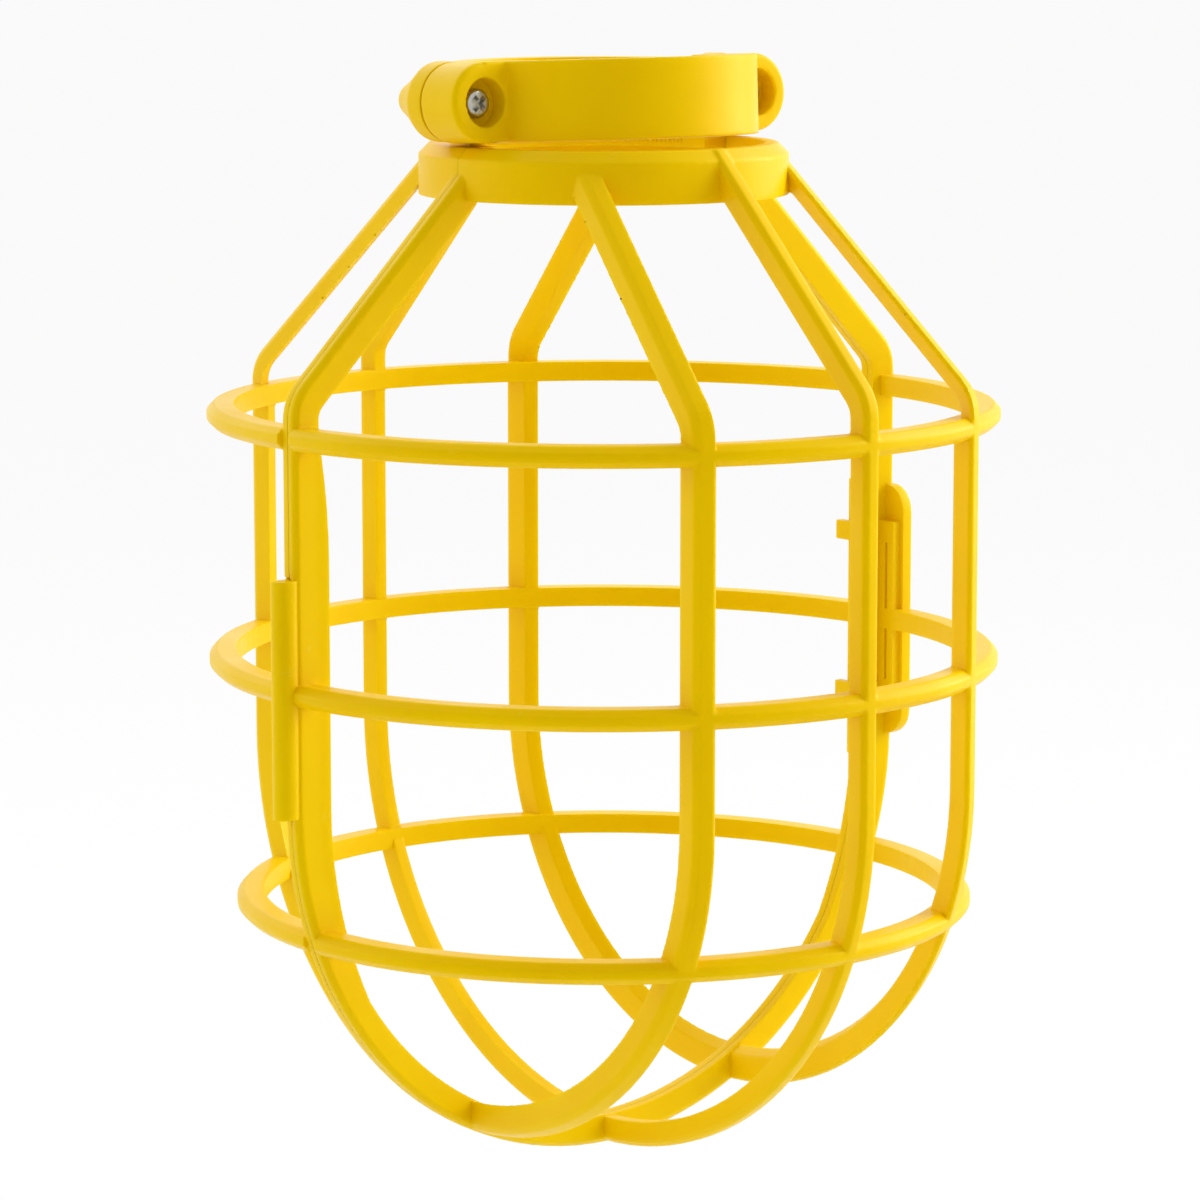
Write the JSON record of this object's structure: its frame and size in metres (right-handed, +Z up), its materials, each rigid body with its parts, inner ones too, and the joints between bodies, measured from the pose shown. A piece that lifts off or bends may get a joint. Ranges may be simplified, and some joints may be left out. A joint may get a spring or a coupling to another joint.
{
  "type": "bulb cage guard",
  "caption": "Yellow moulded clamshell cage that clamps round a lampholder to guard its lamp, hinged down one side and latched down the other.",
  "frame": {"origin": "middle of the lampholder collar's bore, on its axis", "axes": "+Z up the collar's bore, away from the lamp; +X from the hinge to the latch; -Y towards the half that opens"},
  "size_m": [0.1336, 0.1314, 0.1839],
  "materials": {
    "yellow_plastic": "moulded polypropylene, self-coloured yellow, satin to semi-gloss",
    "zinc_plated_steel": "bright zinc plate"
  },
  "bodies": {
    "rear_half": {"rear_cage": "yellow_plastic", "clamp_strap": "yellow_plastic", "screw_hinge_side": "zinc_plated_steel", "screw_latch_side": "zinc_plated_steel"},
    "front_half": {"front_cage": "yellow_plastic"}
  },
  "joints": [
    {"name": "cage_hinge", "type": "hinge", "parent": "rear_half", "child": "front_half", "pos_m": [-0.06575, 0, -0.0931], "axis": [0, 0, -1], "range_deg": [0, 95]}
  ]
}
